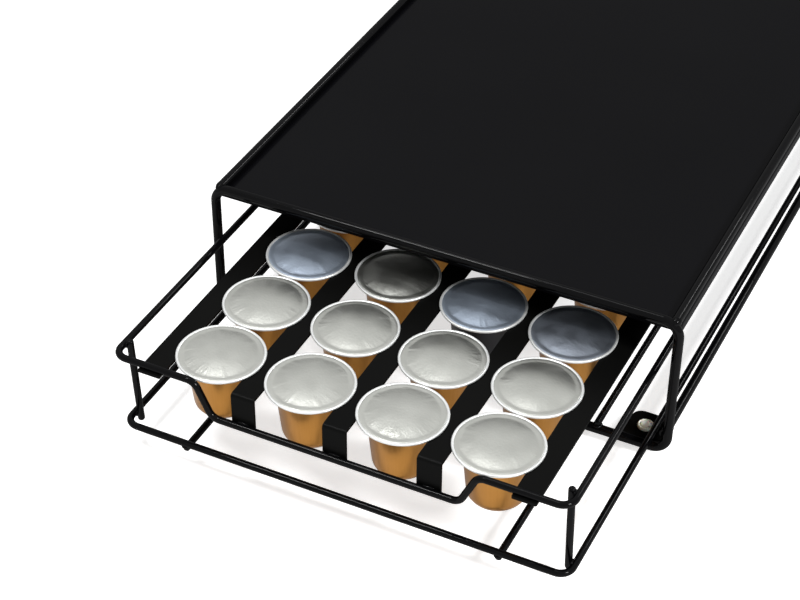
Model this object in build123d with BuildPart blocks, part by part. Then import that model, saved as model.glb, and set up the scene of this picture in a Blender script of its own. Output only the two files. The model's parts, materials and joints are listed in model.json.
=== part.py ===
from build123d import *
from math import cos, radians, tan
import os

# Coffee pod drawer: a wire stand with a folded sheet top, a wire drawer that slides out
# towards -Y on the stand's feet, and capsules hanging by their rims between sheet strips.
# Millimetres; +Z up, -Y to the user. The drawer is drawn as it stands partly pulled out.

# Wire gauges, welds and running gaps
HOOP_WIRE = 4.2        # stand hoops, top side wires and outer rails, coating included
DRAWER_WIRE = 3.0      # every wire of the drawer
RAIL_WIRE = 3.0        # inner rails and the rear stop wire
WELD_SINK = 0.25       # how far two wires melt into each other where they cross
RUN_GAP = 0.3          # between parts that slide on each other
WIRE_END_BEVEL = 0.6   # bevel on cut wire ends that show

# Stand
HOOP_HEIGHT = 66.8     # foot run centre to top run centre
HOOP_BEND = 7.0        # centre line radius of the hoop's bends
FOOT_CLEAR = 4.5       # floor to underside of the foot run
REAR_ROOM = 12.5       # rear stop wire to rear hoop
RAIL_RISE = 6.6        # outer rail centre above the foot run centre
RAIL_OVERHANG = 1.2    # inner rail end past the foot run

# Top pan
PAN_THICK = 1.0
PAN_DEPTH = 3.85       # height over the skirt
PAN_EDGE = 2.0         # skirt face outboard of the top side wire
PAN_CORNER = 2.4       # plan radius of the corners
PAN_BEND = 1.4         # outer radius of the fold between top and skirt

# Foot plates and rubber feet
PLATE_THICK = 1.5
PLATE_WIDE = 20.2      # inner edge of the plate inboard of the leg centre
PLATE_UNDER_BEND = 1.7 # outer edge inboard of the leg centre
PLATE_REACH = 18.5     # rear edge behind the hoop centre
PLATE_CORNER = 4.5
FOOT_INBOARD = 12.5    # rubber foot inboard of the leg centre
FOOT_SET_BACK = 9.4    # rubber foot behind the hoop centre
FOOT_PAD = 12.0        # pad diameter
FOOT_STEM = 4.0
FOOT_FIT = 0.1         # radial gap, stem in plate
FOOT_HEAD = 7.0        # button head diameter
FOOT_HEAD_HIGH = 1.7
FOOT_HEAD_SLOT = 1.0   # slot across the head
FOOT_HEAD_SLOT_DEEP = 0.5
FOOT_HEAD_BEVEL = 1.1  # bevel round the head
FOOT_PAD_BEVEL = 0.8

# Pods
POD_FLANGE = 37.0      # rim diameter
POD_FLANGE_THICK = 1.0
CUP_TOP = 29.2         # cup diameter under the rim
CUP_WAIST = 24.4       # cup diameter where the wall turns in
CUP_WAIST_DEEP = 23.0  # below the rim's top face
CUP_BASE = 13.0        # flat base diameter
CUP_DEEP = 28.5        # below the rim's top face
CUP_TURN = 1.8         # bevel between wall and base cone
LID_EDGE = 34.6        # foil diameter
LID_THICK = 0.22       # foil and seal at its edge
LID_SEAL = 29.8        # inner diameter of the flat sealed ring, where the dome starts
LID_BULGE = 20.0       # diameter where the dome's side turns in
LID_BULGE_HIGH = 1.1   # that turn above the rim's top face
LID_CROWN = 8.0        # diameter of the level middle of the lid
LID_DOME = 1.8         # middle of the lid above the rim's top face

# Drawer
CHANNELS = 4           # lanes of pods side by side
STRIP_WIDTH = 10.3
STRIP_TO_SIDE = 12.45  # outer strip's edge to the side wire's centre
STRIP_THICK = 1.2
STRIP_STUB = 1.0       # strip end past the wire it is welded under
STRIP_CORNER = 0.6
CUP_PLAY = 1.2         # channel width over the cup
TAB_BEND = 1.6         # outer radius of the tab's fold
TAB_BELOW = 0.5        # tab's lower edge under the dipped wire's centre
DRAWER_RISE = 38.7     # lower loop centre to upper loop centre
SIDE_PLAY = 1.0        # drawer to outer rail, each side
ROWS = 10              # pod rows the drawer takes
ROW_ROOM = 38.3        # length given to each row
END_PLAY = 5.0         # length left over at the ends of the channels
LOOP_BEND = 5.5        # centre line radius of the loops' corners
LOWER_SET_BACK = 3.0   # lower loop's ends inside the upper loop's
DIP_DEEP = 16.0        # finger dip in the upper front wire
DIP_TO_STRIP = 14.65   # where the dip leaves the upper level, to the outer strip's edge
DIP_SLOPE = 7.4        # sideways run of the dip's slanted legs
DIP_BEND = 5.0
POST_SET_BACK = 8.0    # post's top behind the upper loop's front wire
POST_TOP = 1.3         # post end above the upper loop
POST_FOOT = 3.3        # post end under the lower loop's centre
POST_LEAN = 2.8        # post's foot further in than its top
GLIDE_INBOARD = 29.0   # glide wire inboard of the drawer's side wire
GLIDE_PLAY = 2.3       # glide wire to inner rail, each side
GLIDE_END = 0.5        # glide wire end past the lower loop's centre
FOOT_UNDER_GLIDE = 3.0 # foot run's inner end past the glide wire
DRAWER_PULL = 94.0     # how far the drawer stands open

# Pods in the drawer: set-back of each pod from the pod or wire in front of it, per channel
POD_GAP = 0.3
POD_SLIP = {
    "a": (0.0, 0.2, 0.0, 0.6),
    "b": (0.0, 1.4, 0.0, 0.0),
    "c": (0.0, 2.3, 1.8, 0.0),
    "d": (0.8, 0.3, 0.6, 0.8),
}

# Heights
FOOT_Z = FOOT_CLEAR + HOOP_WIRE / 2
HOOP_TOP_Z = FOOT_Z + HOOP_HEIGHT
OUTER_RAIL_Z = FOOT_Z + RAIL_RISE
INNER_RAIL_Z = FOOT_Z + HOOP_WIRE / 2 + RAIL_WIRE / 2 - WELD_SINK
STOP_Z = INNER_RAIL_Z + RAIL_WIRE - WELD_SINK
GLIDE_Z = FOOT_Z + HOOP_WIRE / 2 + RUN_GAP + DRAWER_WIRE / 2
LOWER_Z = GLIDE_Z + DRAWER_WIRE - WELD_SINK
UPPER_Z = LOWER_Z + DRAWER_RISE
DIP_Z = UPPER_Z - DIP_DEEP
STRIP_TOP_Z = UPPER_Z - DRAWER_WIRE / 2 + WELD_SINK
RIM_Z = STRIP_TOP_Z + POD_FLANGE_THICK
PAN_TOP_Z = HOOP_TOP_Z - HOOP_WIRE / 2 + WELD_SINK
PLATE_UNDER_Z = FOOT_Z - PLATE_THICK / 2
PLATE_TOP_Z = FOOT_Z + PLATE_THICK / 2

# Widths
STRIP_PITCH = CUP_TOP + CUP_PLAY + STRIP_WIDTH
DRAWER_X = 2 * STRIP_PITCH + STRIP_WIDTH / 2 + STRIP_TO_SIDE
DIP_TOP_X = 2 * STRIP_PITCH - STRIP_WIDTH / 2 - DIP_TO_STRIP
DIP_FLOOR_X = DIP_TOP_X - DIP_SLOPE
POST_X = DRAWER_X - DRAWER_WIRE + WELD_SINK
GLIDE_X = DRAWER_X - GLIDE_INBOARD
INNER_RAIL_X = GLIDE_X + DRAWER_WIRE / 2 + GLIDE_PLAY + RAIL_WIRE / 2
SIDE_WIRE_X = DRAWER_X + DRAWER_WIRE / 2 + SIDE_PLAY + HOOP_WIRE / 2
LEG_X = SIDE_WIRE_X + HOOP_WIRE / 2
FOOT_END_X = GLIDE_X - FOOT_UNDER_GLIDE
FOOT_X = LEG_X - FOOT_INBOARD
PLATE_INNER_X = LEG_X - PLATE_WIDE
PLATE_OUTER_X = LEG_X - PLATE_UNDER_BEND
PAN_X = SIDE_WIRE_X + PAN_EDGE

# Lengths; the object's own middle is y = 0
DRAWER_LONG = ROWS * ROW_ROOM + END_PLAY
STOP_FROM_HOOP = DRAWER_LONG - LOWER_SET_BACK + (DRAWER_WIRE + RAIL_WIRE) / 2 + RUN_GAP
STAND_LONG = STOP_FROM_HOOP + REAR_ROOM
STRIP_PAST = DRAWER_WIRE / 2 + STRIP_STUB
OVERALL = STRIP_PAST + DRAWER_PULL + STAND_LONG + HOOP_WIRE / 2
DRAWER_Y = STRIP_PAST - OVERALL / 2
HOOP_Y = DRAWER_Y + DRAWER_PULL
REAR_HOOP_Y = HOOP_Y + STAND_LONG
STOP_Y = HOOP_Y + STOP_FROM_HOOP
DRAWER_REAR_Y = DRAWER_Y + DRAWER_LONG
BUTT = HOOP_WIRE / 2 - WELD_SINK

solids = {}


def bent_run(stops, closed=False):
    """Draw straight runs joined by round bends through (point, bend radius) stops."""
    points = [Vector(*point) for point, _ in stops]
    count = len(points)
    bends = range(count) if closed else range(1, count - 1)
    here = (points[-1] + points[0]) * 0.5 if closed else points[0]
    goal = here if closed else points[-1]
    for i in bends:
        corner = points[i]
        back = (points[i - 1] - corner).normalized()
        ahead = (points[(i + 1) % count] - corner).normalized()
        half_turn = radians(180 - back.get_angle(ahead)) / 2
        cut = stops[i][1] * tan(half_turn)
        to_centre = (back + ahead).normalized()
        apex = corner + to_centre * (stops[i][1] / cos(half_turn) - stops[i][1])
        Line(here, corner + back * cut)
        ThreePointArc(corner + back * cut, apex, corner + ahead * cut)
        here = corner + ahead * cut
    Line(here, goal)


def wire_along(path, gauge):
    """Draw the wire's round section at the start of a path and sweep it."""
    with BuildSketch(Plane(origin=path.line @ 0, z_dir=path.line % 0)) as section:
        Circle(gauge / 2)
    sweep(sections=section.sketch, path=path.line)


# Hoops: one wire each, bent at four corners, feet turned inward
HOOP_STOPS = [
    ((-FOOT_END_X, FOOT_Z), 0),
    ((-LEG_X, FOOT_Z), HOOP_BEND),
    ((-LEG_X, HOOP_TOP_Z), HOOP_BEND),
    ((LEG_X, HOOP_TOP_Z), HOOP_BEND),
    ((LEG_X, FOOT_Z), HOOP_BEND),
    ((FOOT_END_X, FOOT_Z), 0),
]
for name, y in (("front_hoop", HOOP_Y), ("rear_hoop", REAR_HOOP_Y)):
    with BuildPart() as hoop:
        with BuildLine() as hoop_path:
            bent_run([((x, y, z), bend) for (x, z), bend in HOOP_STOPS])
        wire_along(hoop_path, HOOP_WIRE)
    solids[name] = hoop.part

# Straight wires of the stand, each welded to both hoops
STAND_RUNS = {
    "top_side_wire": (SIDE_WIRE_X, HOOP_TOP_Z, HOOP_WIRE, BUTT),
    "outer_rail": (SIDE_WIRE_X, OUTER_RAIL_Z, HOOP_WIRE, BUTT),
    "inner_rail": (INNER_RAIL_X, INNER_RAIL_Z, RAIL_WIRE, -RAIL_OVERHANG),
}
for name, (x, z, gauge, inset) in STAND_RUNS.items():
    for side, word in ((-1, "left"), (1, "right")):
        with BuildPart() as run:
            with BuildSketch(Plane.XZ.offset(-HOOP_Y - inset)):
                with Locations((side * x, z)):
                    Circle(gauge / 2)
            extrude(amount=-(STAND_LONG - 2 * inset))
            if inset < 0:
                chamfer(run.edges().filter_by(GeomType.CIRCLE), WIRE_END_BEVEL)
        solids[f"{name}_{word}"] = run.part

# Rear stop wire across both inner rails
with BuildPart() as stop_wire:
    with BuildSketch(Plane.YZ.offset(-INNER_RAIL_X - RAIL_WIRE / 2)):
        with Locations((STOP_Y, STOP_Z)):
            Circle(RAIL_WIRE / 2)
    extrude(amount=2 * INNER_RAIL_X + RAIL_WIRE)
    chamfer(stop_wire.edges().filter_by(GeomType.CIRCLE), WIRE_END_BEVEL)
solids["rear_stop_wire"] = stop_wire.part

# Top pan: folded sheet, welded up to the side wires, between the two hoops
PAN_LONG = STAND_LONG - HOOP_WIRE
PAN_MIDDLE_Y = (HOOP_Y + REAR_HOOP_Y) / 2
with BuildPart() as top_pan:
    with BuildSketch(Plane.XY.offset(PAN_TOP_Z - PAN_DEPTH)):
        with Locations((0, PAN_MIDDLE_Y)):
            RectangleRounded(2 * PAN_X, PAN_LONG, PAN_CORNER)
    extrude(amount=PAN_DEPTH)
    fillet(top_pan.faces().sort_by(Axis.Z)[-1].edges(), PAN_BEND)
    with BuildSketch(Plane.XY.offset(PAN_TOP_Z - PAN_DEPTH)):
        with Locations((0, PAN_MIDDLE_Y)):
            RectangleRounded(
                2 * (PAN_X - PAN_THICK), PAN_LONG - 2 * PAN_THICK, PAN_CORNER - PAN_THICK
            )
    extrude(amount=PAN_DEPTH - PAN_THICK, mode=Mode.SUBTRACT)
solids["top_pan"] = top_pan.part

# Foot plates: one gusset behind each foot run, drilled for its rubber foot
CORNERS = [(side, y, inward) for side in (-1, 1) for y, inward in ((HOOP_Y, 1), (REAR_HOOP_Y, -1))]
with BuildPart() as foot_plates:
    for side, y, inward in CORNERS:
        near = y + inward * BUTT
        far = y + inward * PLATE_REACH
        with BuildSketch(Plane.XY.offset(PLATE_UNDER_Z)) as plate_sketch:
            with BuildLine():
                Polyline(
                    (side * PLATE_INNER_X, near),
                    (side * PLATE_INNER_X, far),
                    (side * PLATE_OUTER_X, far),
                    (side * PLATE_OUTER_X, near),
                    close=True,
                )
            make_face()
            rounded = plate_sketch.vertices().sort_by(Axis.Y)
            fillet(rounded[-2:] if inward > 0 else rounded[:2], PLATE_CORNER)
            with Locations((side * FOOT_X, y + inward * FOOT_SET_BACK)):
                Circle(FOOT_STEM / 2 + FOOT_FIT, mode=Mode.SUBTRACT)
        extrude(amount=PLATE_THICK)
solids["foot_plates"] = foot_plates.part

# Rubber feet: pad under the plate, stem through it, slotted button head on top
with BuildPart() as foot_blank:
    with BuildSketch(Plane.XZ):
        with BuildLine():
            Polyline(
                (0, 0),
                (FOOT_PAD / 2, 0),
                (FOOT_PAD / 2, PLATE_UNDER_Z),
                (FOOT_STEM / 2, PLATE_UNDER_Z),
                (FOOT_STEM / 2, PLATE_TOP_Z),
                (FOOT_HEAD / 2, PLATE_TOP_Z),
                (FOOT_HEAD / 2, PLATE_TOP_Z + FOOT_HEAD_HIGH),
                (0, PLATE_TOP_Z + FOOT_HEAD_HIGH),
                close=True,
            )
        make_face()
    revolve(axis=Axis.Z)
    chamfer(foot_blank.edges().sort_by(Axis.Z)[-1], FOOT_HEAD_BEVEL)
    chamfer(foot_blank.edges().sort_by(Axis.Z)[0], FOOT_PAD_BEVEL)
    with BuildSketch(Plane.XY.offset(PLATE_TOP_Z + FOOT_HEAD_HIGH)):
        Rectangle(FOOT_HEAD, FOOT_HEAD_SLOT)
    extrude(amount=-FOOT_HEAD_SLOT_DEEP, mode=Mode.SUBTRACT)
with BuildPart() as rubber_feet:
    with Locations([(side * FOOT_X, y + inward * FOOT_SET_BACK) for side, y, inward in CORNERS]):
        add(foot_blank.part)
solids["rubber_feet"] = rubber_feet.part

# Drawer loops: closed wires; the upper one dips in front for the fingers
UPPER_STOPS = [
    ((-DRAWER_X, DRAWER_REAR_Y, UPPER_Z), LOOP_BEND),
    ((-DRAWER_X, DRAWER_Y, UPPER_Z), LOOP_BEND),
    ((-DIP_TOP_X, DRAWER_Y, UPPER_Z), DIP_BEND),
    ((-DIP_FLOOR_X, DRAWER_Y, DIP_Z), DIP_BEND),
    ((DIP_FLOOR_X, DRAWER_Y, DIP_Z), DIP_BEND),
    ((DIP_TOP_X, DRAWER_Y, UPPER_Z), DIP_BEND),
    ((DRAWER_X, DRAWER_Y, UPPER_Z), LOOP_BEND),
    ((DRAWER_X, DRAWER_REAR_Y, UPPER_Z), LOOP_BEND),
]
LOWER_STOPS = [
    ((-DRAWER_X, DRAWER_REAR_Y - LOWER_SET_BACK, LOWER_Z), LOOP_BEND),
    ((-DRAWER_X, DRAWER_Y + LOWER_SET_BACK, LOWER_Z), LOOP_BEND),
    ((DRAWER_X, DRAWER_Y + LOWER_SET_BACK, LOWER_Z), LOOP_BEND),
    ((DRAWER_X, DRAWER_REAR_Y - LOWER_SET_BACK, LOWER_Z), LOOP_BEND),
]
for name, stops in (("upper_loop", UPPER_STOPS), ("lower_loop", LOWER_STOPS)):
    with BuildPart() as loop:
        with BuildLine() as loop_path:
            bent_run(stops, closed=True)
        wire_along(loop_path, DRAWER_WIRE)
    solids[name] = loop.part

# Corner posts: inside the loops, just past their corners, leaning in towards the foot
for side, hand in ((-1, "left"), (1, "right")):
    for end, inward, place in ((DRAWER_Y, 1, "front"), (DRAWER_REAR_Y, -1, "rear")):
        with BuildPart() as post:
            with BuildLine() as post_path:
                Line(
                    (side * POST_X, end + inward * (POST_SET_BACK + POST_LEAN), LOWER_Z - POST_FOOT),
                    (side * POST_X, end + inward * POST_SET_BACK, UPPER_Z + DRAWER_WIRE / 2 + POST_TOP),
                )
            wire_along(post_path, DRAWER_WIRE)
            chamfer(post.edges().filter_by(GeomType.CIRCLE), WIRE_END_BEVEL)
        solids[f"post_{place}_{hand}"] = post.part

# Glide wires: under the lower loop, running on the feet between the inner rails
for side, hand in ((-1, "left"), (1, "right")):
    with BuildPart() as glide:
        with BuildSketch(Plane.XZ.offset(-DRAWER_Y - LOWER_SET_BACK + GLIDE_END)):
            with Locations((side * GLIDE_X, GLIDE_Z)):
                Circle(DRAWER_WIRE / 2)
        extrude(amount=-(DRAWER_LONG - 2 * LOWER_SET_BACK + 2 * GLIDE_END))
        chamfer(glide.edges().filter_by(GeomType.CIRCLE), WIRE_END_BEVEL)
    solids[f"glide_wire_{hand}"] = glide.part

# Strips: the outer two lie flat under both end wires
STRIP_UNDER_Z = STRIP_TOP_Z - STRIP_THICK
for side, hand in ((-2, "left"), (2, "right")):
    with BuildPart() as strip:
        with BuildSketch(Plane.XY.offset(STRIP_UNDER_Z)):
            with Locations((side * STRIP_PITCH, (DRAWER_Y + DRAWER_REAR_Y) / 2)):
                RectangleRounded(STRIP_WIDTH, DRAWER_LONG + 2 * STRIP_PAST, STRIP_CORNER)
        extrude(amount=STRIP_THICK)
    solids[f"outer_strip_{hand}"] = strip.part

# The inner three fold down in front and are welded behind the dipped wire
TAB_FACE_Y = DRAWER_Y + DRAWER_WIRE / 2 - WELD_SINK
TAB_FOOT_Z = DIP_Z - TAB_BELOW
for side, hand in ((-1, "left"), (0, "middle"), (1, "right")):
    with BuildPart() as strip:
        with BuildSketch(Plane.YZ.offset(side * STRIP_PITCH)) as strip_side:
            with BuildLine():
                Polyline(
                    (DRAWER_REAR_Y + STRIP_PAST, STRIP_TOP_Z),
                    (TAB_FACE_Y, STRIP_TOP_Z),
                    (TAB_FACE_Y, TAB_FOOT_Z),
                    (TAB_FACE_Y + STRIP_THICK, TAB_FOOT_Z),
                    (TAB_FACE_Y + STRIP_THICK, STRIP_UNDER_Z),
                    (DRAWER_REAR_Y + STRIP_PAST, STRIP_UNDER_Z),
                    close=True,
                )
            make_face()
            fold = strip_side.vertices().sort_by_distance((TAB_FACE_Y, STRIP_TOP_Z))
            fillet(fold[0], TAB_BEND)
            crook = strip_side.vertices().sort_by_distance((TAB_FACE_Y + STRIP_THICK, STRIP_UNDER_Z))
            fillet(crook[0], TAB_BEND - STRIP_THICK)
        extrude(amount=STRIP_WIDTH / 2, both=True)
    solids[f"inner_strip_{hand}"] = strip.part

# Pod cup: aluminium cup with its rim, filled; the rim lies on two strips
with BuildPart() as cup_blank:
    with BuildSketch(Plane.XZ) as cup_profile:
        with BuildLine():
            Polyline(
                (0, RIM_Z),
                (POD_FLANGE / 2, RIM_Z),
                (POD_FLANGE / 2, STRIP_TOP_Z),
                (CUP_TOP / 2, STRIP_TOP_Z),
                (CUP_WAIST / 2, RIM_Z - CUP_WAIST_DEEP),
                (CUP_BASE / 2, RIM_Z - CUP_DEEP),
                (0, RIM_Z - CUP_DEEP),
                close=True,
            )
        make_face()
        waist = cup_profile.vertices().sort_by_distance((CUP_WAIST / 2, RIM_Z - CUP_WAIST_DEEP))
        chamfer(waist[0], CUP_TURN)
    revolve(axis=Axis.Z)

# Pod lid: foil sealed flat onto the rim and bulging up inside the sealed ring
with BuildPart() as lid_blank:
    with BuildSketch(Plane.XZ):
        with BuildLine():
            Polyline(
                (0, RIM_Z),
                (LID_EDGE / 2, RIM_Z),
                (LID_EDGE / 2, RIM_Z + LID_THICK),
                (LID_SEAL / 2, RIM_Z + LID_THICK),
                (LID_BULGE / 2, RIM_Z + LID_BULGE_HIGH),
                (LID_CROWN / 2, RIM_Z + LID_DOME),
                (0, RIM_Z + LID_DOME),
                close=True,
            )
        make_face()
    revolve(axis=Axis.Z)

# Four channels of pods, packed from the front
FIRST_POD_Y = DRAWER_Y + DRAWER_WIRE / 2 + POD_GAP + POD_FLANGE / 2
for channel in range(CHANNELS):
    x = (channel - (CHANNELS - 1) / 2) * STRIP_PITCH
    y = FIRST_POD_Y
    for row, slips in POD_SLIP.items():
        y += slips[channel]
        pod = f"pod_{row}{channel + 1}"
        for piece, blank in (("cup", cup_blank), ("lid", lid_blank)):
            with BuildPart() as placed:
                with Locations((x, y)):
                    add(blank.part)
            solids[f"{pod}_{piece}"] = placed.part
        y += POD_FLANGE + POD_GAP

os.makedirs("parts", exist_ok=True)
for name, solid in solids.items():
    solid.label = name
    export_step(solid, f"parts/{name}.step")
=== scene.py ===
# %% [markdown]
# # Coffee pod drawer
# A low wire stand with a folded sheet top, and a wire drawer that carries coffee pods by
# their rims. The frame of this lesson is the constructed model: its wires, strips and top
# stay as they are and get their finishes here. The pods, posts and rubber feet are
# modelled again with rounder edges, and each new piece rides on the body it belongs to.
# The frame is opened first.

# %% Open the frame
import json
from math import atan2, radians, tau

import bpy
from mathutils import Matrix, Vector

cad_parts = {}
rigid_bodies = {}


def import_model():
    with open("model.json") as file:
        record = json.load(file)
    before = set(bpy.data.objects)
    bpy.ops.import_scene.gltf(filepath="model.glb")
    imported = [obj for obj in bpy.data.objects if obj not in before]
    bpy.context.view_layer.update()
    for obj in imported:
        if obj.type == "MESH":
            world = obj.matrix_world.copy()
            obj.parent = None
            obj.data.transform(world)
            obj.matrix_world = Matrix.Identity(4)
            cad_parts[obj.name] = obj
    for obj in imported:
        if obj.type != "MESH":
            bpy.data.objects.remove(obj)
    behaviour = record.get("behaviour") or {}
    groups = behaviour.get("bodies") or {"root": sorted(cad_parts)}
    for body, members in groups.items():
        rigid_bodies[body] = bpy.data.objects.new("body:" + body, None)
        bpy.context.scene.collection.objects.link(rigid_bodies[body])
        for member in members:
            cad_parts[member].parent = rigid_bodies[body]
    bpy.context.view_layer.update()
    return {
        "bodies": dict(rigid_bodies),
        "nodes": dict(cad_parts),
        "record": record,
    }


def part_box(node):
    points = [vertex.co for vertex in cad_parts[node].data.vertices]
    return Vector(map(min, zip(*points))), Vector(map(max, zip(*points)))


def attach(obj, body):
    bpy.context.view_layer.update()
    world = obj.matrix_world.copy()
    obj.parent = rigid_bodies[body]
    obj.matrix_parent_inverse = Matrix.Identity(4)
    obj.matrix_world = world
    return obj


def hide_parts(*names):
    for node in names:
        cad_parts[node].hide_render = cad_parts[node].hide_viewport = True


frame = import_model()
MM = 0.001

# %% [markdown]
# ## Colours and nodes
# A colour picked on a screen is an sRGB hex value, and Blender's sockets want linear
# light, so one function turns the first into the second. A second function adds any
# shader node with its settings, its values and the outputs that feed it. With these two,
# a whole material reads as a list from top to bottom.


# %% Helpers for materials
def linear(hex_colour, alpha=1.0):
    """sRGB hex to linear colour."""
    parts = [int(hex_colour[i:i + 2], 16) / 255 for i in (1, 3, 5)]
    light = [c / 12.92 if c <= 0.04045 else ((c + 0.055) / 1.055) ** 2.4 for c in parts]
    return light + [alpha]


def node(tree, kind, options={}, values={}, links={}):
    """Add a node, set its options and socket values, and link outputs into it."""
    made = tree.nodes.new(kind)
    for name, value in options.items():
        setattr(made, name, value)
    for socket, value in values.items():
        made.inputs[socket].default_value = value
    for socket, (source, output) in links.items():
        tree.links.new(source.outputs[output], made.inputs[socket])
    return made


def empty_material(name):
    """A new node material whose tree is empty, and that tree."""
    material = bpy.data.materials.new(name)
    material.use_nodes = True
    tree = material.node_tree
    tree.nodes.clear()
    return material, tree


print("white in linear light:", linear("#FFFFFF")[:3])

# %% [markdown]
# ## Powder coat
# Wires and sheets are steel, dusted with black powder and baked until it flows. The coat
# is a dielectric, so its black comes from the base colour and its gloss from a coat layer
# on top, which shows lamps as thin lines along each wire. How much of that layer there is
# sets the gloss: most on the wires, less on the top, least on the satin strips. The faint
# orange peel is a bump from a noise on Object coordinates, so that it runs on over welds
# and bends. A slow noise varies the tint and the roughness, as a real coat does.


# %% Powder coat
COAT_CLOUD = 55.56 * MM    # one patch of a slightly other black


def powder_coat(name, dark, pale, rough_low, rough_high, gloss, peel_mm, peel_deep):
    """Baked powder coat: two close blacks and an orange peel, whose size is in mm."""
    material, tree = empty_material(name)
    place = node(tree, "ShaderNodeTexCoord")
    cloud = node(tree, "ShaderNodeTexNoise", values={"Scale": 1 / COAT_CLOUD, "Detail": 3.0},
                 links={"Vector": (place, "Object")})
    tint = node(tree, "ShaderNodeMix", {"data_type": "RGBA"},
                {6: linear(dark), 7: linear(pale)}, {0: (cloud, "Fac")})
    rough = node(tree, "ShaderNodeMapRange",
                 values={"From Min": 0.3, "From Max": 0.7,
                         "To Min": rough_low, "To Max": rough_high},
                 links={"Value": (cloud, "Fac")})
    peel = node(tree, "ShaderNodeTexNoise",
                values={"Scale": 1 / (peel_mm * MM), "Detail": 2.0},
                links={"Vector": (place, "Object")})
    bump = node(tree, "ShaderNodeBump",
                values={"Strength": 0.6, "Distance": peel_deep * MM},
                links={"Height": (peel, "Fac")})
    skin = node(tree, "ShaderNodeBsdfPrincipled",
                values={"Specular IOR Level": 0.0, "Coat Weight": gloss,
                        "Coat Roughness": rough_low},
                links={"Base Color": (tint, 2), "Roughness": (rough, 0),
                       "Normal": (bump, 0), "Coat Normal": (bump, 0)})
    node(tree, "ShaderNodeOutputMaterial", links={"Surface": (skin, 0)})
    return material


# Gloss coat on steel wire: deep black, and thin sharp lines where a lamp is mirrored
gloss_wire = powder_coat("gloss black powder coat on steel wire", "#040405", "#080809",
                         rough_low=0.06, rough_high=0.11, gloss=0.15,
                         peel_mm=1.8, peel_deep=0.0008)
# Semi-gloss coat on folded sheet: black with a bluish cast and a soft, wide gleam
top_sheet = powder_coat("semi-gloss black powder coat on folded sheet steel",
                        "#070709", "#0A0A0C", rough_low=0.18, rough_high=0.24, gloss=0.10,
                        peel_mm=1.2, peel_deep=0.003)
# Satin coat on sheet strips: a warmer black that spreads the light, with a finer grain
strip_sheet = powder_coat("satin black powder coat on sheet steel", "#070707", "#0B0B0A",
                          rough_low=0.34, rough_high=0.44, gloss=0.08,
                          peel_mm=0.9, peel_deep=0.010)
print("coats:", gloss_wire.name, "|", top_sheet.name, "|", strip_sheet.name)

# %% [markdown]
# ## Drawn aluminium
# A pod's cup is drawn from thin aluminium and anodised amber, and one of them black. It
# is a metal, so it takes its colour in the reflection. Drawing the cup leaves fine streaks
# that run down the wall, and the colour is a bit uneven. The streaks follow the piece's
# own UV map, whose U goes round the cup and whose V goes up it. The rolled rim is the
# same sheet under a pale lacquer: `bare` says how much of the metal shows through.


# %% Cup finishes
CUP_CLOUD = 8.33 * MM      # one patch of a slightly other colour
STREAKS_ROUND = 90.0       # streaks round a cup, each about a millimetre wide
STREAKS_DOWN = 1.5         # and how often one changes over the map's height


def drawn_aluminium(name, dark, pale, rough_low, rough_high, bare=1.0):
    """Drawn aluminium, streaked down the wall, bare or partly hidden by a lacquer."""
    material, tree = empty_material(name)
    place = node(tree, "ShaderNodeTexCoord")
    stretch = node(tree, "ShaderNodeMapping",
                   values={"Scale": (STREAKS_ROUND, STREAKS_DOWN, 1.0)},
                   links={"Vector": (place, "UV")})
    streak = node(tree, "ShaderNodeTexNoise", values={"Scale": 1.0, "Detail": 3.0},
                  links={"Vector": (stretch, 0)})
    cloud = node(tree, "ShaderNodeTexNoise",
                 values={"Scale": 1 / CUP_CLOUD, "Detail": 2.0},
                 links={"Vector": (place, "Object")})
    both = node(tree, "ShaderNodeMix", {"data_type": "FLOAT"}, {0: 0.45},
                {2: (streak, "Fac"), 3: (cloud, "Fac")})
    tint = node(tree, "ShaderNodeMix", {"data_type": "RGBA"},
                {6: linear(dark), 7: linear(pale)}, {0: (both, 0)})
    rough = node(tree, "ShaderNodeMapRange",
                 values={"From Min": 0.3, "From Max": 0.7,
                         "To Min": rough_low, "To Max": rough_high},
                 links={"Value": (both, 0)})
    bump = node(tree, "ShaderNodeBump", values={"Strength": 0.25, "Distance": 0.02 * MM},
                links={"Height": (streak, "Fac")})
    skin = node(tree, "ShaderNodeBsdfPrincipled", values={"Metallic": bare},
                links={"Base Color": (tint, 2), "Roughness": (rough, 0), "Normal": (bump, 0)})
    node(tree, "ShaderNodeOutputMaterial", links={"Surface": (skin, 0)})
    return material


# Aluminium with an amber dye in its anodised skin: a warm metal with soft reflections
cup_amber = drawn_aluminium("amber anodised drawn aluminium", "#8B6029", "#A6753A",
                            rough_low=0.27, rough_high=0.36)
# The same with a black dye: a dark metal that shows only its brightest reflections
cup_black = drawn_aluminium("black anodised drawn aluminium", "#252527", "#323234",
                            rough_low=0.34, rough_high=0.44)
# Rim of the same sheet in a pale lacquer: a light ring, half metal and half paint
rim_pale = drawn_aluminium("rolled aluminium rim in pale lacquer", "#CDCFCE", "#DCDDDC",
                           rough_low=0.34, rough_high=0.44, bare=0.55)
print("cups:", cup_amber.name, "|", cup_black.name, "|", rim_pale.name)
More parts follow.
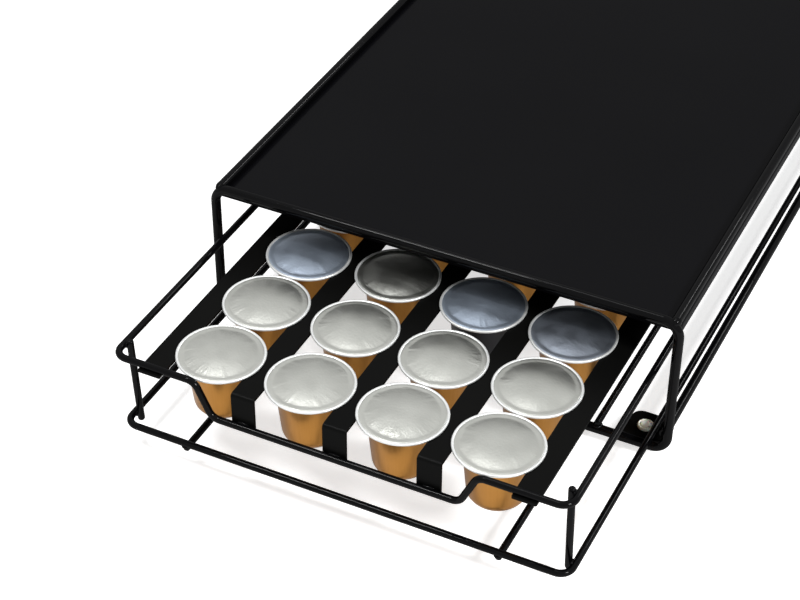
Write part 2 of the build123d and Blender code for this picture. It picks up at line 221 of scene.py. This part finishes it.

# %% [markdown]
# ## Lid foil
# The lid is soft aluminium foil, sealed onto the rim. Where it is drawn in over the
# filled cup it creases: short folds that point to the middle and die out on the dome.
# The lid's UV map holds its own plan, so the distance from the middle and the direction
# round it come from there. A second, slower noise on Object coordinates dents every lid
# in another way, and a fine one gives the foil the grain that its rolling leaves. Some
# lids are tinted and mix in a small part of diffuse paint: painted reflection of bluish
# light, and on one lid also painted shade.


# %% Foil
FOLDS_ROUND = 9.0    # the folds' noise runs round a circle of this radius: 56 cells
FOLDS_ACROSS = 7.0   # and passes this many cells across the lid, so a fold is long
POD_SHIFT = 60.0     # cells per metre of the pod's place, so that each lid differs
SECTORS = 0.22       # the noise that picks creased stretches is coarser by this
DENT = 9.09 * MM     # one dent of the dome
GRAIN = 1.111 * MM   # rolling grain, drawn coarser than it is so that it shows


def lid_foil(name, dark, pale, rough_low, rough_high, bare=1.0):
    """Heat-sealed aluminium foil with creases round the dome; bare below 1 mixes in diffuse
    paint, as painted light.
    """
    material, tree = empty_material(name)
    place = node(tree, "ShaderNodeTexCoord")
    middle = node(tree, "ShaderNodeVectorMath", {"operation": "SUBTRACT"}, {1: (0.5, 0.5, 0.0)},
                  {0: (place, "UV")})
    away = node(tree, "ShaderNodeVectorMath", {"operation": "LENGTH"}, links={0: (middle, 0)})
    outward = node(tree, "ShaderNodeVectorMath", {"operation": "NORMALIZE"},
                   links={0: (middle, 0)})
    spokes = node(tree, "ShaderNodeVectorMath", {"operation": "SCALE"},
                  {"Scale": FOLDS_ROUND}, {0: (outward, 0)})
    ring = node(tree, "ShaderNodeCombineXYZ", links={"Z": (away, "Value")})
    ringed = node(tree, "ShaderNodeVectorMath", {"operation": "SCALE"},
                  {"Scale": FOLDS_ACROSS}, {0: (ring, 0)})
    pod_shift = node(tree, "ShaderNodeVectorMath", {"operation": "SCALE"},
                     {"Scale": POD_SHIFT}, {0: (place, "Object")})
    spoked = node(tree, "ShaderNodeVectorMath", {"operation": "ADD"},
                  links={0: (spokes, 0), 1: (ringed, 0)})
    varied = node(tree, "ShaderNodeVectorMath", {"operation": "ADD"},
                  links={0: (spoked, 0), 1: (pod_shift, 0)})
    crease = node(tree, "ShaderNodeTexNoise", {},
                  {"Scale": 1.0, "Detail": 3.0, "Roughness": 0.5}, {"Vector": (varied, 0)})
    sector_at = node(tree, "ShaderNodeVectorMath", {"operation": "SCALE"},
                     {"Scale": SECTORS}, {0: (varied, 0)})
    sector = node(tree, "ShaderNodeTexNoise", values={"Scale": 1.0, "Detail": 1.0},
                  links={"Vector": (sector_at, 0)})
    # Some stretches crease and others hardly do. In the plan the lid's edge is 0.5 from
    # the middle: folds die out by 0.22, and past 0.44 the seal presses them nearly flat.
    creased = node(tree, "ShaderNodeMapRange", {"interpolation_type": "SMOOTHSTEP"},
                   {"From Min": 0.47, "From Max": 0.64, "To Min": 0.08, "To Max": 1.0},
                   {"Value": (sector, "Fac")})
    near_edge = node(tree, "ShaderNodeMapRange", {"interpolation_type": "SMOOTHSTEP"},
                     {"From Min": 0.22, "From Max": 0.44, "To Min": 0.0, "To Max": 1.0},
                     {"Value": (away, "Value")})
    inside = node(tree, "ShaderNodeMapRange", {"interpolation_type": "SMOOTHSTEP"},
                  {"From Min": 0.425, "From Max": 0.445, "To Min": 1.0, "To Max": 0.25},
                  {"Value": (away, "Value")})
    band = node(tree, "ShaderNodeMath", {"operation": "MULTIPLY"},
                links={0: (near_edge, 0), 1: (inside, 0)})
    patch = node(tree, "ShaderNodeMath", {"operation": "MULTIPLY"},
                 links={0: (band, 0), 1: (creased, 0)})
    folds = node(tree, "ShaderNodeMath", {"operation": "MULTIPLY"},
                 links={0: (crease, "Fac"), 1: (patch, 0)})
    dent = node(tree, "ShaderNodeTexNoise", values={"Scale": 1 / DENT, "Detail": 3.0},
                links={"Vector": (place, "Object")})
    fold_bump = node(tree, "ShaderNodeBump", values={"Strength": 0.5, "Distance": 0.48 * MM},
                     links={"Height": (folds, 0)})
    dent_bump = node(tree, "ShaderNodeBump", values={"Strength": 0.3, "Distance": 0.25 * MM},
                     links={"Height": (dent, "Fac"), "Normal": (fold_bump, 0)})
    grain = node(tree, "ShaderNodeTexNoise", values={"Scale": 1 / GRAIN, "Detail": 2.0},
                 links={"Vector": (place, "Object")})
    grain_bump = node(tree, "ShaderNodeBump", values={"Strength": 0.5, "Distance": 0.13 * MM},
                      links={"Height": (grain, "Fac"), "Normal": (dent_bump, 0)})
    tint = node(tree, "ShaderNodeMix", {"data_type": "RGBA"},
                {6: linear(dark), 7: linear(pale)}, {0: (dent, "Fac")})
    rough = node(tree, "ShaderNodeMapRange",
                 values={"From Min": 0.3, "From Max": 0.7,
                         "To Min": rough_low, "To Max": rough_high},
                 links={"Value": (dent, "Fac")})
    skin = node(tree, "ShaderNodeBsdfPrincipled", values={"Metallic": bare},
                links={"Base Color": (tint, 2), "Roughness": (rough, 0),
                       "Normal": (grain_bump, 0)})
    node(tree, "ShaderNodeOutputMaterial", links={"Surface": (skin, 0)})
    return material


# Bare rolled foil: a matt silver that takes the tone of what stands round it
foil_silver = lid_foil("heat-sealed silver aluminium foil", "#A0A19C", "#B0B1AC",
                       rough_low=0.33, rough_high=0.43)
# The same foil with a painted reflection: tinted bluish where it mirrors, lightened by a little
# diffuse paint, and a bit duller
foil_painted_bluish_reflection = lid_foil("heat-sealed aluminium foil with a cool lacquer", "#8E98A6", "#A3AEBC",
                     rough_low=0.42, rough_high=0.52, bare=0.91)
# The same foil darker and bluish, as painted shade and a painted bluish reflection, and closer
# to bare metal
foil_painted_shade_and_reflection = lid_foil("heat-sealed aluminium foil with a smoke lacquer", "#838A94", "#969DA8",
                     rough_low=0.40, rough_high=0.50, bare=0.98)
print("foils:", foil_silver.name, "|", foil_painted_bluish_reflection.name, "|", foil_painted_shade_and_reflection.name)

# %% [markdown]
# ## Silicone rubber
# The feet are moulded from a milky silicone rubber. It has a soft gloss, light goes into
# it a little way, and dust makes it cream. A fine noise mottles its colour.

# %% Rubber
# Milky silicone rubber: it glows a little in the light, and dust mottles it cream
DUST = 2.5 * MM
foot_rubber, rubber_tree = empty_material("moulded cream silicone rubber")
rubber_place = node(rubber_tree, "ShaderNodeTexCoord")
rubber_cloud = node(rubber_tree, "ShaderNodeTexNoise",
                    values={"Scale": 1 / DUST, "Detail": 2.0},
                    links={"Vector": (rubber_place, "Object")})
rubber_tint = node(rubber_tree, "ShaderNodeMix", {"data_type": "RGBA"},
                   {6: linear("#F2F0E0"), 7: linear("#FCFBF2")}, {0: (rubber_cloud, "Fac")})
rubber_skin = node(rubber_tree, "ShaderNodeBsdfPrincipled",
                   values={"Roughness": 0.38, "IOR": 1.41, "Subsurface Weight": 0.15,
                           "Subsurface Scale": 2.0 * MM},
                   links={"Base Color": (rubber_tint, 2)})
node(rubber_tree, "ShaderNodeOutputMaterial", links={"Surface": (rubber_skin, 0)})
print("rubber:", foot_rubber.name)

# %% [markdown]
# ## Finishes for the constructed pieces
# The frame's record names a material slot for each piece, such as gloss_wire. Each slot
# is filled with one of the materials above, so that every wire and sheet gets its coat.

# %% Give the frame its finishes
FINISH = {"gloss_wire": gloss_wire, "top_sheet": top_sheet, "strip_sheet": strip_sheet,
          "cup_amber": cup_amber, "cup_black": cup_black, "lid_foil": foil_silver,
          "foot_rubber": foot_rubber}
SLOT_OF = {part["node"]: part["material_slot"] for part in frame["record"]["subparts"]}
for name, piece in frame["nodes"].items():
    for place_in_mesh in piece.material_slots:
        place_in_mesh.material = FINISH[SLOT_OF[name]]
print("finishes given to", len(SLOT_OF), "nodes")

# %% [markdown]
# ## Turned shapes, ring by ring
# Cups, lids and feet are round. Each starts as a circle at its first ring. The ring is
# extruded, scaled about the axis and lifted to the next radius and height, again and
# again, as one does by hand with E, S and G. The first circle and the last ring each keep
# a flat face, which closes the shape: a cup's base, a foot's top, the middle of a lid, or
# a side that another piece hides.


# %% Helper for turned shapes
def start_fresh():
    """Leave edit mode and deselect everything."""
    if bpy.context.object and bpy.context.object.mode != "OBJECT":
        bpy.ops.object.mode_set(mode="OBJECT")
    bpy.ops.object.select_all(action="DESELECT")


def turned(name, rings, count):
    """A shape on the Z axis through rings of (radius, height), both in millimetres."""
    start_fresh()
    radius, height = rings[0]
    bpy.ops.mesh.primitive_circle_add(vertices=count, radius=radius * MM, fill_type="NGON",
                                      calc_uvs=False, location=(0, 0, 0))
    piece = bpy.context.object
    piece.name = name
    bpy.ops.object.mode_set(mode="EDIT")
    bpy.ops.mesh.select_all(action="SELECT")
    bpy.ops.transform.translate(value=(0, 0, height * MM))
    bpy.ops.mesh.select_mode(type="EDGE")
    bpy.ops.mesh.region_to_loop()
    for next_radius, next_height in rings[1:]:
        bpy.ops.mesh.extrude_edges_move()
        factor = next_radius / radius
        bpy.ops.transform.resize(value=(factor, factor, 1), center_override=(0, 0, 0))
        bpy.ops.transform.translate(value=(0, 0, (next_height - height) * MM))
        radius, height = next_radius, next_height
    bpy.ops.mesh.edge_face_add()
    bpy.ops.mesh.select_all(action="SELECT")
    bpy.ops.mesh.normals_make_consistent(inside=False)
    bpy.ops.object.mode_set(mode="OBJECT")
    piece.data.materials.clear()
    return piece


def smooth(piece, degrees):
    """Shade smooth, with edges sharper than the angle left crisp."""
    start_fresh()
    piece.select_set(True)
    bpy.context.view_layer.objects.active = piece
    bpy.ops.object.shade_smooth_by_angle(angle=radians(degrees))


print("helpers ready: start_fresh, turned, smooth")

# %% [markdown]
# ## The cup
# The real cup is drawn aluminium: a flat base with a rounded turn, a wall that widens
# slightly to the top, a small shoulder under the rim, and a flange whose edge is rolled
# into a bead. The sizes are the constructed cup's, and the turn, shoulder and bead get
# more rings here. The frame tells how high the pods hang, and each ring gives a radius
# and a height, both in millimetres.

# %% Cup
RIM_Z = round(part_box("pod_a1_cup")[1][2] / MM, 1)    # top of every pod's flange
CUP_SIDES = 72
cup_rings = [
    (6.5, RIM_Z - 28.5), (7.6, RIM_Z - 28.1), (10.4, RIM_Z - 25.7), (11.25, RIM_Z - 24.8),
    (11.85, RIM_Z - 23.9), (12.15, RIM_Z - 23.0), (12.35, RIM_Z - 21.6), (13.3, RIM_Z - 12.0),
    (14.3, RIM_Z - 2.6), (14.5, RIM_Z - 1.5), (14.6, RIM_Z - 1.0), (15.4, RIM_Z - 0.98),
    (17.4, RIM_Z - 0.98), (18.0, RIM_Z - 0.94), (18.35, RIM_Z - 0.80), (18.5, RIM_Z - 0.50),
    (18.45, RIM_Z - 0.10), (18.25, RIM_Z + 0.12), (17.9, RIM_Z + 0.2), (17.6, RIM_Z + 0.12),
    (17.35, RIM_Z - 0.10),
]
master_cup = turned("cup_master", cup_rings, CUP_SIDES)
print("cup:", len(master_cup.data.polygons), "faces")

# %% [markdown]
# ## The cup's own map
# The streaks need a map that goes round and up. Blender can unwrap by cylinder, but a
# map worked out from each corner's angle and height has no seam trouble, because a face
# that crosses the back of the cup is told to carry on past one full turn. The lids get a
# map of their plan instead. The cup's flange and bead then take the rim's lacquer. Their
# faces are picked by where they lie.


# %% UV maps
MAP_HEIGHT = 30.0    # millimetres of height to one unit of V
FLANGE_START = 15.0  # radius where the flat flange has left the wall
FLANGE_BELOW = 1.2   # faces of the flange lie less than this under the rim's top
BEAD_BELOW = 0.1     # and all faces above this are the bead


def wrap_round(piece):
    """U round the axis, V up it, with no face torn at the seam."""
    layer = piece.data.uv_layers.new(name="round")
    for face in piece.data.polygons:
        corners = [piece.data.vertices[i].co for i in face.vertices]
        turns = [atan2(corner.y, corner.x) / tau for corner in corners]
        for loop, corner, turn in zip(face.loop_indices, corners, turns):
            u = turn + 1 if max(turns) - turn > 0.5 else turn
            layer.data[loop].uv = (u, corner.z / (MAP_HEIGHT * MM))


def plan_map(piece, across):
    """U and V from the plan, with the axis at (0.5, 0.5)."""
    layer = piece.data.uv_layers.new(name="plan")
    for loop in piece.data.loops:
        x, y = piece.data.vertices[loop.vertex_index].co.xy
        layer.data[loop.index].uv = (0.5 + x / (across * MM), 0.5 + y / (across * MM))


wrap_round(master_cup)
master_cup.data.materials.append(cup_amber)
master_cup.data.materials.append(rim_pale)
for face in master_cup.data.polygons:
    outward = Vector(face.center[:2]).length
    on_flange = outward > FLANGE_START * MM and face.center.z > (RIM_Z - FLANGE_BELOW) * MM
    if on_flange or face.center.z > (RIM_Z - BEAD_BELOW) * MM:
        face.material_index = 1
smooth(master_cup, degrees=40)
lacquered = sum(face.material_index for face in master_cup.data.polygons)
print("cup faces in rim lacquer:", lacquered)

# %% [markdown]
# ## The lid
# The foil lies flat on the flange, rises over a narrow ring where it is sealed, dips a
# little and then domes over the coffee. In the middle it is almost level. The rings
# below follow that profile from the middle outwards, and end with a short edge down to
# the flange.

# %% Lid
lid_rings = [
    (0.7, RIM_Z + 1.80), (2.0, RIM_Z + 1.79), (4.0, RIM_Z + 1.72), (6.0, RIM_Z + 1.58),
    (8.0, RIM_Z + 1.37), (10.0, RIM_Z + 1.08), (12.0, RIM_Z + 0.71), (13.4, RIM_Z + 0.39),
    (14.3, RIM_Z + 0.17), (14.8, RIM_Z + 0.06), (15.1, RIM_Z + 0.03), (15.5, RIM_Z + 0.04),
    (16.2, RIM_Z + 0.06), (16.9, RIM_Z + 0.05), (17.2, RIM_Z - 0.02), (17.4, RIM_Z - 0.12),
]
LID_SIDES = 96
LID_ACROSS = 34.8    # millimetres, twice the last ring's radius
master_lid = turned("lid_master", lid_rings, LID_SIDES)
plan_map(master_lid, LID_ACROSS)
master_lid.data.materials.append(foil_silver)
smooth(master_lid, degrees=60)
print("lid:", len(master_lid.data.polygons), "faces")

# %% [markdown]
# ## Sixteen pods
# The pods are copies of the two masters, each with its own mesh, set where the
# constructed pod hangs and turned by a different angle, so that no two lids crease the
# same way. Three lids of the third row are tinted bluish as a painted reflection, one of
# them darker as painted shade, and its third cup is the black one. Each copy rides on
# its pod's body and stands for the constructed piece.


# %% Copy, turn and place
CUP_STEP = 47.0      # degrees from one cup's turn to the next
LID_STEP = 83.0      # and from one lid's to the next


def copy_to(master, name, spot, turn=0.0):
    """Copy a piece with its own mesh, turned about its axis and set at a place."""
    start_fresh()
    master.select_set(True)
    bpy.context.view_layer.objects.active = master
    bpy.ops.object.duplicate(linked=False)
    piece = bpy.context.object
    piece.name = name
    piece.data.name = name
    bpy.ops.object.mode_set(mode="EDIT")
    bpy.ops.mesh.select_all(action="SELECT")
    bpy.ops.transform.rotate(value=radians(turn), orient_axis="Z", center_override=(0, 0, 0))
    bpy.ops.transform.translate(value=spot)
    bpy.ops.object.mode_set(mode="OBJECT")
    return piece


# Lids with painted light: a bluish tint for a painted reflection, and on pod_c4 darker for
# painted shade
FOIL_WITH_PAINTED_LIGHT = {"pod_c1": foil_painted_bluish_reflection, "pod_c3": foil_painted_bluish_reflection, "pod_c4": foil_painted_shade_and_reflection}
pods = sorted(name for name in frame["bodies"] if name.startswith("pod_"))
for number, body in enumerate(pods):
    low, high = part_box(body + "_cup")
    spot = ((low[0] + high[0]) / 2, (low[1] + high[1]) / 2, 0)
    cup = copy_to(master_cup, body + "_cup_fine", spot, number * CUP_STEP)
    lid = copy_to(master_lid, body + "_lid_fine", spot, number * LID_STEP)
    if SLOT_OF[body + "_cup"] == "cup_black":
        cup.data.materials[0] = cup_black
    lid.data.materials[0] = FOIL_WITH_PAINTED_LIGHT.get(body, foil_silver)
    for piece, part in ((cup, "_cup"), (lid, "_lid")):
        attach(piece, body)
        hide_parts(body + part)
bpy.data.objects.remove(master_cup)
bpy.data.objects.remove(master_lid)
print("pods placed:", len(pods))

# %% [markdown]
# ## Corner posts
# Each post is a cut length of wire with its ends tumbled round. It leans in a little
# towards its foot, as the lower loop is shorter than the upper one. A cylinder is
# modelled upright on the axis, its end rims are bevelled in steps, and every copy is
# tilted and set in the middle of its constructed post.

# %% Posts
POST_RADIUS = 1.5    # millimetres, as the next two
POST_LONG = 44.89
POST_ROUND = 1.25    # how far the rounding of an end reaches
POST_LEAN = 3.58     # degrees
LEVEL = 0.01 * MM    # an edge whose ends differ less in height lies in an end rim
start_fresh()
bpy.ops.mesh.primitive_cylinder_add(vertices=32, radius=POST_RADIUS * MM,
                                    depth=POST_LONG * MM)
master_post = bpy.context.object
bpy.ops.object.mode_set(mode="EDIT")
bpy.ops.mesh.select_mode(type="EDGE")
bpy.ops.mesh.select_all(action="DESELECT")
bpy.ops.object.mode_set(mode="OBJECT")
for edge in master_post.data.edges:
    ends = [master_post.data.vertices[i].co.z for i in edge.vertices]
    edge.select = abs(ends[0] - ends[1]) < LEVEL
bpy.ops.object.mode_set(mode="EDIT")
bpy.ops.mesh.bevel(offset=POST_ROUND * MM, segments=6, profile=0.5, affect="EDGES")
bpy.ops.object.mode_set(mode="OBJECT")
master_post.data.materials.clear()
master_post.data.materials.append(gloss_wire)
print("post:", len(master_post.data.polygons), "faces")

# %% Set the posts
for hand in ("left", "right"):
    for place_name, inward in (("front", 1), ("rear", -1)):
        constructed = f"post_{place_name}_{hand}"
        low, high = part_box(constructed)
        post = copy_to(master_post, constructed + "_fine", (0, 0, 0))
        middle = [(low[i] + high[i]) / 2 for i in range(3)]
        tilt = Matrix.Rotation(inward * radians(POST_LEAN), 4, "X")
        post.data.transform(Matrix.Translation(middle) @ tilt)
        smooth(post, degrees=40)
        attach(post, "drawer")
        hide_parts(constructed)
bpy.data.objects.remove(master_post)
print("posts set in the drawer's four corners")

# %% [markdown]
# ## Rubber feet
# One foot holds each corner plate: a pad below, a stem through the plate's hole and a
# button head pushed through to the top, with a groove round a raised middle. It is turned
# ring by ring on the axis, and the four copies are joined, as they are one node.

# %% Rubber feet
foot_rings = [
    (5.1, 0.0), (5.6, 0.18), (5.9, 0.6), (6.0, 1.1), (6.0, 5.5), (5.85, 5.78), (5.5, 5.85),
    (2.05, 5.85), (2.0, 6.2), (2.0, 7.1), (2.05, 7.35), (3.1, 7.35), (3.4, 7.48), (3.5, 7.8),
    (3.48, 8.3), (3.38, 8.6), (3.15, 8.8), (2.95, 8.82), (2.75, 8.7), (2.6, 8.3), (2.5, 8.22),
    (2.4, 8.3), (2.3, 8.7), (2.15, 8.95), (1.8, 9.08), (1.0, 9.12),
]
FOOT_SIDES = 40
FOOT_TURN = 20.0     # degrees
PAD_RADIUS = 6.0
master_foot = turned("foot_master", foot_rings, FOOT_SIDES)
master_foot.data.materials.append(foot_rubber)
print("foot:", len(master_foot.data.polygons), "faces")

# %% Four feet in one piece
feet = []
low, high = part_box("rubber_feet")
for x in (low[0] + PAD_RADIUS * MM, high[0] - PAD_RADIUS * MM):
    for y in (low[1] + PAD_RADIUS * MM, high[1] - PAD_RADIUS * MM):
        feet.append(copy_to(master_foot, "rubber_foot", (x, y, 0), FOOT_TURN))
start_fresh()
for foot in feet:
    foot.select_set(True)
bpy.context.view_layer.objects.active = feet[0]
bpy.ops.object.join()
rubber_feet = bpy.context.object
rubber_feet.name = "rubber_feet_fine"
smooth(rubber_feet, degrees=40)
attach(rubber_feet, "stand")
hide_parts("rubber_feet")
bpy.data.objects.remove(master_foot)
print("feet:", len(rubber_feet.data.polygons), "faces")

# %% [markdown]
# ## Weld beads
# The wires are resistance welded where they cross, and a little metal is pressed out at
# each joint. Under the coat it shows as a soft lump that catches the light. One sphere
# is squashed to the half sizes that each joint needs. The biggest ones close the corners
# of the hoops, where a side wire's cut end would show over the bend. The beads of the
# stand are joined to one piece and those of the drawer to another, as each rides on its
# own body. Their places come from the middles of the constructed wires, moved to where
# two wires press on each other.

# %% Where the joints are
WIRE = 1.5           # radius of the drawer's wire


def middle_of(name):
    """The middle of a constructed piece, in millimetres."""
    low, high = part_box(name)
    return [round((a + b) / 2 / MM, 2) for a, b in zip(low, high)]


side_x, _, side_z = middle_of("top_side_wire_right")
outer_x, _, outer_z = middle_of("outer_rail_right")
inner_x, _, inner_z = middle_of("inner_rail_right")
_, stop_y, stop_z = middle_of("rear_stop_wire")
glide_x, _, glide_z = middle_of("glide_wire_right")
post_x = middle_of("post_front_right")[0]
lower_z = middle_of("lower_loop")[2]
loop_low, loop_high = [[round(v / MM, 2) for v in corner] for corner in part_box("upper_loop")]
front_y, dip_z = loop_low[1] + WIRE, loop_low[2] + WIRE
rear_y, upper_z = loop_high[1] - WIRE, loop_high[2] - WIRE
hoops = [(middle_of("front_hoop")[1], 1), (middle_of("rear_hoop")[1], -1)]
drawer_ends = [(front_y, 1), (rear_y, -1)]
print("hoops at y", hoops, "and drawer ends at", drawer_ends)

# %% The beads' places and half sizes
CORNER_BEAD = (2.25, 3.2, 2.25)                # side wire against a hoop's bend
RAIL_BEAD = (2.0, 1.3, 1.9)                    # outer rail against a hoop's leg
FOOT_BEAD = (2.3, 2.1, 0.9)                    # inner rail on a hoop's foot
STOP_BEAD = (1.9, 1.9, 0.8)                    # stop wire on the inner rails
POST_BEAD = (1.0, 1.9, 1.5)                    # post against a loop of the drawer
GLIDE_BEAD = (1.8, 1.7, 0.8)                   # glide wire under the lower loop
TAB_BEAD = (2.6, 0.7, 0.6)                     # strip's tab behind the dipped wire
BUTT_IN, SIDE_DROP, RAIL_OUT = 1.6, 0.1, 0.8   # from the wires' middles to the joint
RAIL_DROP, STOP_DROP = 1.2, 1.4
POST_OUT, POST_HEAD_IN, POST_FOOT_IN = 1.35, 8.2, 10.7
GLIDE_IN, GLIDE_RISE = 3.0, 1.35
TAB_IN, TAB_RISE = 1.1, 1.25

stand_joints = []
drawer_joints = []
for side in (-1, 1):
    for y, inward in hoops:
        butt_y = y + inward * BUTT_IN
        rail_x = side * (outer_x + RAIL_OUT)
        stand_joints.append(((side * side_x, butt_y, side_z - SIDE_DROP), CORNER_BEAD))
        stand_joints.append(((rail_x, butt_y, outer_z), RAIL_BEAD))
        stand_joints.append(((side * inner_x, y, inner_z - RAIL_DROP), FOOT_BEAD))
    stand_joints.append(((side * inner_x, stop_y, stop_z - STOP_DROP), STOP_BEAD))
    for y, inward in drawer_ends:
        joint_x = side * (post_x + POST_OUT)
        glide_spot = (side * glide_x, y + inward * GLIDE_IN, glide_z + GLIDE_RISE)
        drawer_joints.append(((joint_x, y + inward * POST_HEAD_IN, upper_z), POST_BEAD))
        drawer_joints.append(((joint_x, y + inward * POST_FOOT_IN, lower_z), POST_BEAD))
        drawer_joints.append((glide_spot, GLIDE_BEAD))
for strip in ("inner_strip_left", "inner_strip_middle", "inner_strip_right"):
    strip_x = middle_of(strip)[0]
    drawer_joints.append(((strip_x, front_y + TAB_IN, dip_z + TAB_RISE), TAB_BEAD))
print("joints:", len(stand_joints), "on the stand,", len(drawer_joints), "on the drawer")


# %% Weld beads
def weld_beads(name, joints, body):
    """A bead at every joint, given as (place, half sizes) in millimetres, in one piece."""
    beads = []
    for spot, half in joints:
        start_fresh()
        bpy.ops.mesh.primitive_uv_sphere_add(segments=16, ring_count=10, radius=1,
                                             calc_uvs=False)
        bead = bpy.context.object
        bpy.ops.object.mode_set(mode="EDIT")
        bpy.ops.mesh.select_all(action="SELECT")
        bpy.ops.transform.resize(value=[h * MM for h in half], center_override=(0, 0, 0))
        bpy.ops.transform.translate(value=[s * MM for s in spot])
        bpy.ops.object.mode_set(mode="OBJECT")
        beads.append(bead)
    start_fresh()
    for bead in beads:
        bead.select_set(True)
    bpy.context.view_layer.objects.active = beads[0]
    bpy.ops.object.join()
    welds = bpy.context.object
    welds.name = name
    welds.data.materials.clear()
    welds.data.materials.append(gloss_wire)
    smooth(welds, degrees=60)
    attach(welds, body)
    print(name, len(joints), "beads")


weld_beads("stand_weld_beads", stand_joints, "stand")
weld_beads("drawer_weld_beads", drawer_joints, "drawer")

# %% [markdown]
# ## Floor
# A big pale board is the floor. To the camera it adds a little light of its own, and in
# gloss and clear pieces a bit less, so that it reads as white paper while the object's
# shadow stays. A slow noise keeps it from being one flat colour.

# %% Floor
FLOOR_SIZE = 12.0    # metres
CAMERA_LIFT = 0.65   # light added for the camera
GLOSS_LIFT = 0.3     # and for gloss and clear pieces
BOARD_CLOUDS = 3.0   # patches of tone per metre
start_fresh()
bpy.ops.mesh.primitive_plane_add(size=FLOOR_SIZE, location=(0, 0, 0))
floor = bpy.context.object
floor.name = "floor"
# Matt coated board: white paper with a slow, hardly visible change of tone
pale_board, board_tree = empty_material("pale matt board")
board_path = node(board_tree, "ShaderNodeLightPath")
board_mirrored = node(board_tree, "ShaderNodeMath", {"operation": "MAXIMUM"},
                      links={0: (board_path, "Is Glossy Ray"),
                             1: (board_path, "Is Transmission Ray")})
board_gloss = node(board_tree, "ShaderNodeMath", {"operation": "MULTIPLY"},
                   {1: GLOSS_LIFT}, {0: (board_mirrored, 0)})
board_lift = node(board_tree, "ShaderNodeMath", {"operation": "MULTIPLY_ADD"},
                  {1: CAMERA_LIFT}, {0: (board_path, "Is Camera Ray"), 2: (board_gloss, 0)})
board_place = node(board_tree, "ShaderNodeTexCoord")
board_cloud = node(board_tree, "ShaderNodeTexNoise", values={"Scale": BOARD_CLOUDS},
                   links={"Vector": (board_place, "Object")})
board_tint = node(board_tree, "ShaderNodeMix", {"data_type": "RGBA"},
                  {6: linear("#F1F1F1"), 7: linear("#F5F5F5")}, {0: (board_cloud, "Fac")})
board_skin = node(board_tree, "ShaderNodeBsdfPrincipled",
                  values={"Roughness": 0.9, "Specular IOR Level": 0.2,
                          "Emission Color": linear("#FFFFFF")},
                  links={"Base Color": (board_tint, 2), "Emission Strength": (board_lift, 0)})
node(board_tree, "ShaderNodeOutputMaterial", links={"Surface": (board_skin, 0)})
floor.data.materials.append(pale_board)
print("floor:", pale_board.name)

# %% [markdown]
# ## World
# Past the floor the camera sees a white backdrop of strength 1. Gloss and clear pieces
# see it too. As a light it is held back, because a bright sky from all sides would
# flatten every shape. Light Path tells these kinds of ray apart.

# %% World
BACKDROP = 1.0       # what camera, gloss and clear pieces see
SKY_LIGHT = 0.30     # what it lights the object with
world = bpy.data.worlds.new("studio")
bpy.context.scene.world = world
world.use_nodes = True
sky = world.node_tree
sky.nodes.clear()
sky_path = node(sky, "ShaderNodeLightPath")
sky_seen = node(sky, "ShaderNodeMath", {"operation": "MAXIMUM"},
                links={0: (sky_path, "Is Camera Ray"), 1: (sky_path, "Is Glossy Ray")})
sky_clear = node(sky, "ShaderNodeMath", {"operation": "MAXIMUM"},
                 links={0: (sky_seen, 0), 1: (sky_path, "Is Transmission Ray")})
sky_level = node(sky, "ShaderNodeMapRange",
                 values={"To Min": SKY_LIGHT, "To Max": BACKDROP},
                 links={"Value": (sky_clear, 0)})
sky_light = node(sky, "ShaderNodeBackground", values={"Color": linear("#FFFFFF")},
                 links={"Strength": (sky_level, 0)})
node(sky, "ShaderNodeOutputWorld", links={"Surface": (sky_light, 0)})
print("world:", world.name)

# %% [markdown]
# ## Lamps
# A wide, weak softbox hangs over the stand and lies behind the soft gleam of the lids and
# the top. The key stands at the right, where the corners of the wires throw a glint to
# the camera. Three short tubes each draw one line: the front one along the wires that run
# across, the side one along those that run to the rear, and the top one on the near edge
# of each lid's dome. Each row below gives the lamp's place and the point it looks at in
# metres, its width and height, and its watts.


# %% Lamps
def softbox(name, spot, look_at, width, height, watts):
    """An oblong lamp at a place in metres, aimed at a point."""
    start_fresh()
    bpy.ops.object.light_add(type="AREA", location=spot)
    lamp = bpy.context.object
    lamp.name = name
    lamp.data.shape = "RECTANGLE"
    lamp.data.size = width
    lamp.data.size_y = height
    lamp.data.energy = watts
    line = Vector(look_at) - Vector(spot)
    lamp.rotation_euler = line.to_track_quat("-Z", "Y").to_euler()


LAMPS = [
    ("ceiling_softbox", (-0.35, 0.65, 1.5), (-0.35, 0.70, 0), 2.4, 2.4, 3.6),
    ("key_softbox", (1.15, -0.55, 0.98), (0.05, -0.2, 0.05), 0.30, 0.30, 22.0),
    ("front_tube", (-0.50, -0.55, 1.35), (-0.50, -0.25, 0), 0.28, 0.10, 7.5),
    ("top_tube", (-0.36, 0.02, 1.5), (-0.36, 0.3, 0), 0.50, 0.16, 3.6),
    ("side_tube", (0.75, 1.22, 1.1), (0, 1.22, 0), 0.60, 0.10, 7.0),
]
for lamp in LAMPS:
    softbox(*lamp)

# %% [markdown]
# ## Camera
# The camera stands where the photograph was taken from: 38 degrees up, 26 degrees round
# to the right, through a long lens. The place, turn and lens come from fitting the rims,
# wires and strips of the constructed model to the picture.

# %% Camera
CAMERA_AT = (0.27340, -0.74979, 0.56381)    # metres
CAMERA_TURN = (51.8495, -0.2868, 26.1831)   # degrees about X, Y and Z
LENS = 89.574                               # millimetres
camera_data = bpy.data.cameras.new("camera")
camera_data.sensor_width = 36.0
camera_data.lens = LENS
camera_data.clip_start = 0.01
camera = bpy.data.objects.new("camera", camera_data)
camera.location = CAMERA_AT
camera.rotation_euler = [radians(degrees) for degrees in CAMERA_TURN]
bpy.context.scene.collection.objects.link(camera)
bpy.context.scene.camera = camera
bpy.context.scene.view_settings.view_transform = "Standard"
print("camera at", [round(v, 3) for v in camera.location])
